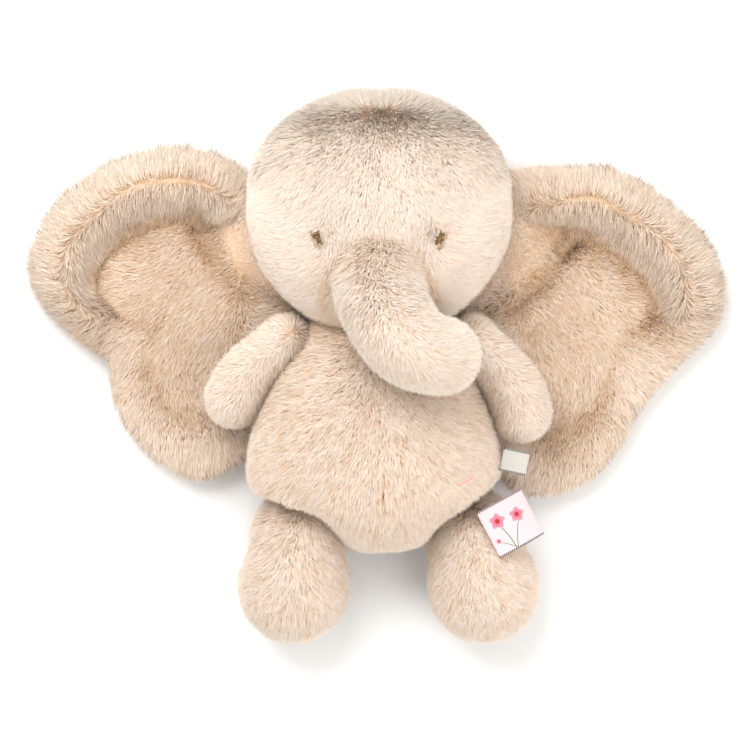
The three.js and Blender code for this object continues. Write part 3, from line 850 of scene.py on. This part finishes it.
def leg_path(side):
    """From the hip to the middle of the foot. The left leg points further outwards."""
    splay = 1 if side > 0 else -0.5
    return spline(HIPS[side] + np.array([(2 * splay, 0, 5), (4 * splay, -13, 7), (7 * splay, -25, 2)]), 24)


def arm_path(side):
    """From inside the neck seam to the middle of the paw. The left arm lies a little lower."""
    elbow, paw = ((15, -17, -2), (21, -32, -6)) if side > 0 else ((-14, -12, -2), (-22, -25, -6))
    return spline(SHOULDERS[side] + np.array([(-3 * side, 4, 0), elbow, paw]), 24)


def foot_radii(count):
    """A leg's radii: wider towards the foot."""
    return 20 + 3.5 * smooth(np.linspace(0, 1, count), 0.2, 1)


def paw_radii(count):
    """An arm's radii: wider towards the paw."""
    return 8.5 + 2.5 * smooth(np.linspace(0, 1, count), 0.1, 0.9)


for side, name in ((1, "leg_left"), (-1, "leg_right")):
    path = leg_path(side)
    piece = padded_skin(f"{name}_skin", name, [f"{name}_outer", f"{name}_inner", f"{name}_stuffing"],
                        *limb(path, foot_radii(len(path)), UP), fill=0.8, voxel=3.4, swell=1.5)
    # The legs' hairs are darker on their undersides: painted shade.
    coat(piece, name, "fur", name=f"{name}_pile", density=6.0, seed=50 + side, comb=path_comb(path),
         tone=lambda p, n: 0.74 - 0.1 * (n[:, 2] < 0), kinds=flecked(0.4))

for side, name in ((1, "arm_left"), (-1, "arm_right")):
    path = arm_path(side)
    piece = padded_skin(f"{name}_skin", name, [f"{name}_front", f"{name}_back", f"{name}_stuffing"],
                        *limb(path, paw_radii(len(path)), UP), fill=0.8, voxel=2.4, swell=1.0)
    # The arms' hairs are darker on the side that faces the body: painted shade.
    coat(piece, name, "fur", name=f"{name}_pile", density=FINE, seed=60 + side, comb=path_comb(path),
         tone=lambda p, n, side=side: 0.78 - 0.35 * smooth(-side * n[:, 0], 0.1, 0.8), kinds=flecked(0.3))


# --------------------------------------------------------------------------------------------------
# Body
# --------------------------------------------------------------------------------------------------

BODY_CENTRE = vec(-2.5, 7.5, 42)
BODY_HALF = vec(59.5, 60, 42)
BELLY_FLOOR = 38  # height that parts the body's fine fur from the coarse fur of its back


def turned(points, axis, degrees):
    """Points turned about an axis through the origin."""
    axis, angle = unit(np.array(axis, float)), math.radians(degrees)
    side = np.cross(axis, points)
    lengthwise = np.outer(points @ axis, axis) * (1 - math.cos(angle))
    return points * math.cos(angle) + side * math.sin(angle) + lengthwise


def limb_balls(path, radii, pivot, axis, lifts, room):
    """Balls along a limb, at each angle that it is swung to, with some room around them."""
    for lift in lifts:
        for k in range(0, len(path), 4):
            yield pivot + turned((path[k] - pivot)[None], axis, lift)[0], radii[k] + room


def body_shape():
    """An egg, hollowed where the limbs swing, with a short crease down the middle of the belly."""
    first, rings, last = egg(BODY_CENTRE, BODY_HALF - PILE, 2.3, 0.3, rows=48, around=80)
    balls = []
    for side in (1, -1):
        legs = leg_path(side)
        balls += limb_balls(legs, foot_radii(len(legs)), HIPS[side], (1, 0, 0), (0, -30, -60), 7)
        balls += [(HIPS[side] + vec(0, -7, rise), 26) for rise in (14, 26, 38)]
    rings = hollowed(rings, BODY_CENTRE, balls)
    rings[..., 0] *= 1 + 0.35 * smooth(rings[..., 1], 46, 60)
    x, y, z = np.moveaxis(rings, -1, 0)
    crease = bell(x, 2, 2.4) * smooth(y, -36, -28) * (1 - smooth(y, -16, -8)) * (z > 50)
    rings[..., 2] -= 2.0 * crease
    return first, rings, last


def body_comb(points, normals):
    """Down from the neck to the legs, parted a little to either side of the crease and over the hips."""
    x, y, z = points.T
    part = bell(y, -20, 12) * bell(x, 2, 9) * np.sign(x - 2)
    lie = np.stack([0.012 * x + 0.4 * part, -np.ones(len(x)), -0.8 * np.ones(len(x))], axis=1)
    return lie, np.ones(len(x)), np.zeros(len(x))


def body_tone(points, normals):
    """Darker with painted shade: in the crease, at the neck under the head and under the arms."""
    x, y, z = points.T
    crease = bell(x, 2, 1.3) * smooth(y, -34, -28) * (1 - smooth(y, -14, -8))
    neck_shade = smooth(y, 36, 56)
    under_arm_shade = smooth(np.abs(normals[:, 0]), 0.5, 0.9) * smooth(y, 2, 16)
    return 0.7 - 0.35 * crease - 0.35 * neck_shade - 0.3 * under_arm_shade


body = padded_skin(
    "body_skin", "body", ["body_front_left", "body_front_right", "body_back", "body_stuffing"],
    *body_shape(), fill=0.85, voxel=3.6, swell=1.8,
)
body_rules = {"comb": body_comb, "tone": body_tone, "kinds": flecked(0.5)}
coat(body, "body", "fur", name="body_pile_left", density=FINE, seed=41, **body_rules,
     where=lambda p, n: (p[:, 0] >= 0) & (p[:, 2] > BELLY_FLOOR))
coat(body, "body", "fur", name="body_pile_right", density=FINE, seed=43, **body_rules,
     where=lambda p, n: (p[:, 0] < 0) & (p[:, 2] > BELLY_FLOOR))
coat(body, "body", "fur", name="body_pile_back", density=COARSE, seed=42, **body_rules, width=COARSE_WIDTH,
     where=lambda p, n: p[:, 2] <= BELLY_FLOOR)


# --------------------------------------------------------------------------------------------------
# Threads: the eyes and the stitch at the hip
# --------------------------------------------------------------------------------------------------

def thread_material(name, dark, light, twist):
    """Twisted thread: slanting strands along it, from the map's numbers, and a slow change of colour."""
    n = Nodes(name)
    across = n.add("SeparateXYZ", None, n.add("UVMap", {"uv_map": "OFBake"}))
    along = Maths(n, across.socket.node.outputs["Y"])
    strand = n.math("SINE", (across + along * twist) * (2 * math.pi)) * 0.5 + 0.5
    colour = n.mixed(strand * 0.6 + n.grain(1.2) * 0.4, dark, light)
    return n.finish(Base_Color=colour, Roughness=0.35, Sheen_Weight=0.3, Normal=n.bump(strand, 0.12))


def thread_mesh(name, path, radius, around=8):
    """A round thread along a path. The map gives how far round it a point is, and how far along it, growing
    by 1 for every six points of the path."""
    ahead = unit(np.gradient(path, axis=0))
    across = unit(np.cross(ahead, unit(UP + vec(0.13, 0.07, 0))))
    upward = np.cross(across, ahead)
    turn = np.linspace(0, 2 * np.pi, around + 1)
    ring = across[:, None] * np.cos(turn)[:, None] + upward[:, None] * np.sin(turn)[:, None]
    girth = radius * np.sqrt(np.sin(np.linspace(0.03, np.pi - 0.03, len(path))) ** 0.5)
    points = path[:, None] + ring * girth[:, None, None]
    length = np.linspace(0, len(path) / 6, len(path))
    uv = np.stack(np.broadcast_arrays(turn / (2 * np.pi), length[:, None]), axis=-1)
    return grid_mesh(name, points, uv)


def joined(name, pieces):
    """The meshes of several pieces as one piece."""
    with bpy.context.temp_override(active_object=pieces[0], selected_editable_objects=pieces):
        bpy.ops.object.join()
    pieces[0].name = pieces[0].data.name = name
    return pieces[0]


EYE_RAISE = -0.6  # of the ends of the eye's stitches over the middle of the CAD eye: they are sunk


def satin_eye(name, side, material, seed):
    """Overlapping stitches along a short slanting line. Each is an arc that stands out of the face in its
    middle."""
    rng = np.random.default_rng(seed)
    eye = EYES[side]
    outward = unit((eye - HEAD_CENTRE) / HEAD_HALF**2)
    ahead = unit(vec(-side * math.sin(EYE_LEAN), -math.cos(EYE_LEAN), 0))
    ahead = unit(ahead - (ahead @ outward) * outward)
    across = np.cross(outward, ahead)
    share = np.linspace(0, 1, 14)[:, None]
    stitches = []
    for k in range(11):
        slant = rng.uniform(-0.5, 0.5) if k < 7 else rng.uniform(0.7, 1.3) * rng.choice([-1, 1])
        middle = eye + across * rng.uniform(-0.9, 0.9) + ahead * rng.uniform(-1.2, 1.2) * (1 if k < 7 else 2)
        reach = rng.uniform(2.6, 3.9) if k < 7 else rng.uniform(1.4, 2.2)
        line = ahead * math.cos(slant) + across * math.sin(slant)
        rise = EYE_RAISE + (0.9 + 0.12 * k) * np.sin(np.pi * share) ** 0.6
        path = middle + line * reach * (2 * share - 1) + outward * rise
        stitches.append(new_piece(f"{name}_stitch_{k}", thread_mesh(name, path, 0.5), material))
    piece = joined(f"{name}_stitches", stitches)
    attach(piece, "head")
    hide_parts(name)


# The eye thread's light gold strands are painted highlights, glints on the dark thread.
eye_thread = thread_material("eye_thread", rgb(26, 15, 9), rgb(150, 112, 58), 1.0)
pink_thread = thread_material("pink_thread", rgb(214, 120, 112), rgb(244, 176, 166), 1.0)
satin_eye("eye_left", 1, eye_thread, 71)
satin_eye("eye_right", -1, eye_thread, 72)


def hip_stitch():
    """Three short stitches in a row across the hip, each an arc at the height of the CAD stitch's upper
    side, which is a few millimetres clear of the pile."""
    middle, half = middle_of("hip_stitch")
    start, end = middle + vec(-half[0], -half[1], 0), middle + vec(half[0], half[1], 0)
    share = np.linspace(0, 1, 14)[:, None]
    stitches = []
    for k in range(3):
        a, b = start + (end - start) * (k + 0.05) / 3, start + (end - start) * (k + 0.95) / 3
        path = a + (b - a) * share + UP * (0.7 * np.sin(np.pi * share) + half[2] - 0.4)
        stitches.append(new_piece(f"hip_stitch_{k}", thread_mesh("hip_stitch", path, 0.35), pink_thread))
    piece = joined("hip_stitch_threads", stitches)
    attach(piece, "body")
    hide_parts("hip_stitch")


hip_stitch()


# --------------------------------------------------------------------------------------------------
# Ribbon and label
# --------------------------------------------------------------------------------------------------

def weave(n, across, along, threads):
    """Plain weave from 0 to 1: the product of two sines, `threads` to the millimetre."""
    warp = n.math("SINE", across * (2 * math.pi * threads))
    weft = n.math("SINE", along * (2 * math.pi * threads))
    return warp * weft * 0.5 + 0.5


def map_numbers(n):
    """The map's two numbers: millimetres across and along the cloth."""
    across = n.add("SeparateXYZ", None, n.add("UVMap", {"uv_map": "OFBake"}))
    return across, Maths(n, across.socket.node.outputs["Y"])


def edge_stitches(n, across, width, step):
    """1 in short dashes along the two edges of the cloth."""
    inset = n.math("PINGPONG", across[0], width / 2)
    near = n.math("LESS_THAN", inset, 1.0)
    beat = n.math("FRACT", across[1] / step)
    return near * n.math("LESS_THAN", beat, 0.6)


def blossom(n, place, middle, size):
    """1 inside five round petals, then 1 inside their centre, and the distance from the middle as a share of
    the size. The petals' edge swings five times between 0.7 and 1 of the size as it goes round."""
    x, y = place[0] - middle[0], place[1] - middle[1]
    far = n.math("SQRT", x * x + y * y)
    turn = n.math("ARCTAN2", y, x)
    edge = (n.math("COSINE", turn * 5) * 0.15 + 0.85) * size
    petals = n.math("LESS_THAN", far, edge)
    centre = n.math("LESS_THAN", far, size * 0.3)
    return petals, centre, far / size


def stem(n, place, foot, top, bow):
    """1 along a bowed line from the foot up to the blossom: a parabola across, for a height that goes from 0
    to 1."""
    rise = (place[1] - foot[1]) / (top[1] - foot[1])
    middle = rise * (top[0] - foot[0]) + foot[0] + rise * (1 - rise) * bow
    apart = n.math("ABSOLUTE", place[0] - middle)
    near = n.math("LESS_THAN", apart, 0.28)
    above = n.math("GREATER_THAN", rise, 0.0)
    return near * above * n.math("LESS_THAN", rise, 1.0)


def ribbon_material(width):
    """Pale pink twill with two blossoms and a bud on green stems, and dark stitches along both edges."""
    n = Nodes("ribbon_print")
    edges = map_numbers(n)
    place = edges[::-1]
    twill = n.math("SINE", (place[0] + place[1]) * 7.0) * 0.5 + 0.5
    colour = n.mixed(twill, rgb(226, 186, 194), rgb(236, 217, 219))
    stems = [
        ((9.5, 1.0), (7.0, 14.0), 2.5),
        ((10.5, 1.0), (17.0, 13.0), -2.5),
        ((10.0, 1.0), (3.5, 7.0), 1.0),
    ]
    for foot, top, bow in stems:
        colour = n.mixed(stem(n, place, foot, top, bow), colour, rgb(96, 138, 92))
    for middle, size in (((7.0, 16.5), 4.0), ((17.0, 15.0), 3.7), ((3.2, 7.6), 1.4)):
        petals, centre, far = blossom(n, place, middle, size)
        pink = n.mixed(far, rgb(206, 74, 98), rgb(236, 146, 164))
        colour = n.mixed(petals, colour, pink)
        colour = n.mixed(centre, colour, rgb(168, 34, 46))
    colour = n.mixed(edge_stitches(n, edges, width, 1.1), colour, rgb(40, 36, 38))
    return n.finish(Base_Color=colour, Roughness=0.45, Sheen_Weight=0.3, Normal=n.bump(twill, 0.08))


def label_material(width):
    """Off-white woven cloth without any lettering, with dark stitches along both edges."""
    n = Nodes("label_cloth")
    place = map_numbers(n)
    cloth = weave(n, *place, 2.2)
    colour = n.mixed(cloth * 0.6 + n.grain(0.8) * 0.4, rgb(186, 182, 172), rgb(222, 219, 211))
    colour = n.mixed(edge_stitches(n, place, width, 1.0), colour, rgb(52, 50, 50))
    return n.finish(Base_Color=colour, Roughness=0.75, Sheen_Weight=0.2, Normal=n.bump(cloth, 0.1))


def folded_loop(name, node, moved, turn, width, length, gap, sag, material):
    """A ribbon folded in half: out along its top layer, round a half circle, and back along its lower layer.
    It stands near the node's middle, turned about +Z, and its fold sags by the square of the way out."""
    middle = middle_of(node)[0] + vec(*moved)
    rows, columns = 49, 21
    flat = 2 * length + math.pi * gap / 2
    s = np.linspace(0, flat, rows)
    bend = np.clip((s - length) / (gap / 2), 0, math.pi)
    out = np.where(s <= length, s, np.where(s >= flat - length, flat - s, length + gap / 2 * np.sin(bend)))
    lift = gap / 2 * np.cos(bend)
    t = np.linspace(-width / 2, width / 2, columns)
    angle = math.radians(turn)
    ahead, side = vec(math.cos(angle), math.sin(angle), 0), vec(-math.sin(angle), math.cos(angle), 0)
    wave = 0.35 * np.sin(s[:, None] / 5 + t[None, :] / 7)
    height = lift[:, None] - sag * (out[:, None] / length) ** 2 + wave
    points = middle + (out - length / 2)[:, None, None] * ahead + t[None, :, None] * side
    points = points + height[..., None] * UP
    uv = np.stack(np.broadcast_arrays((t + width / 2)[None, :], s[:, None]), axis=-1)
    piece = new_piece(name, grid_mesh(name, points, uv), material)
    thick = piece.modifiers.new("thick", "SOLIDIFY")
    thick.thickness, thick.offset = 0.35 * MM, 0
    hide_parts(node)
    return piece


RIBBON_WIDE = 25.0
LABEL_WIDE = 11.5

ribbon = folded_loop(
    "ribbon_loop", "ribbon_tag", moved=(-4.5, 4.5, 15), turn=28, width=RIBBON_WIDE, length=23.5, gap=2.2,
    sag=9, material=ribbon_material(RIBBON_WIDE),
)
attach(ribbon, "leg_left")

label = folded_loop(
    "label_loop", "side_label", moved=(0, -1, 0), turn=-12, width=LABEL_WIDE, length=12.0, gap=1.6, sag=1.0,
    material=label_material(LABEL_WIDE),
)
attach(label, "body")


# --------------------------------------------------------------------------------------------------
# Camera, lights and floor
# --------------------------------------------------------------------------------------------------

CAMERA_HEIGHT = 2000
CAMERA_ASIDE = (-2, 34)  # from the origin, across and towards the crown
VIEW_WIDTH = 367.5  # that the view takes in, at VIEW_HEIGHT above the floor
VIEW_HEIGHT = 35
SENSOR_WIDTH = 36
LIT_PLACE = (0, 0.03, 0.03)  # in metres, that the lights point at


def set_camera():
    """Straight above the toy and looking down, with the crown of its head at the top."""
    data = bpy.data.cameras.new("camera")
    camera = bpy.data.objects.new("camera", data)
    data.sensor_width = SENSOR_WIDTH
    data.lens = SENSOR_WIDTH * (CAMERA_HEIGHT - VIEW_HEIGHT) / VIEW_WIDTH
    camera.location = (CAMERA_ASIDE[0] * MM, CAMERA_ASIDE[1] * MM, CAMERA_HEIGHT * MM)
    bpy.context.scene.collection.objects.link(camera)
    bpy.context.scene.camera = camera


def area_light(name, place, aim, size, watts):
    """A round lamp that points at a place. Places and the size are in metres."""
    data = bpy.data.lights.new(name, "AREA")
    data.shape = "DISK"
    data.size = size
    data.energy = watts
    light = bpy.data.objects.new(name, data)
    light.location = place
    towards = np.array(aim) - np.array(place)
    light.rotation_mode = "QUATERNION"
    light.rotation_quaternion = Vector(towards).to_track_quat("-Z", "Y")
    bpy.context.scene.collection.objects.link(light)


def set_studio():
    """Soft light from all round, two lamps and a white floor."""
    scene = bpy.context.scene
    scene.view_settings.view_transform = "Standard"
    world = bpy.data.worlds.new("studio")
    world.use_nodes = True
    world.node_tree.nodes["Background"].inputs["Color"].default_value = (1.0, 0.975, 0.945, 1)
    world.node_tree.nodes["Background"].inputs["Strength"].default_value = 0.9
    scene.world = world
    area_light("key", (-0.4, 0.8, 1.2), LIT_PLACE, size=1.0, watts=17)
    area_light("fill", (0.8, -0.5, 1.2), LIT_PLACE, size=1.2, watts=7)
    n = Nodes("floor")
    n.finish(Base_Color=(0.93, 0.93, 0.93, 1), Roughness=0.9)
    mesh = bpy.data.meshes.new("floor")
    mesh.from_pydata([(-4, -4, 0), (4, -4, 0), (4, 4, 0), (-4, 4, 0)], [], [(0, 1, 2, 3)])
    new_piece("floor", mesh, n.material)


set_camera()
set_studio()
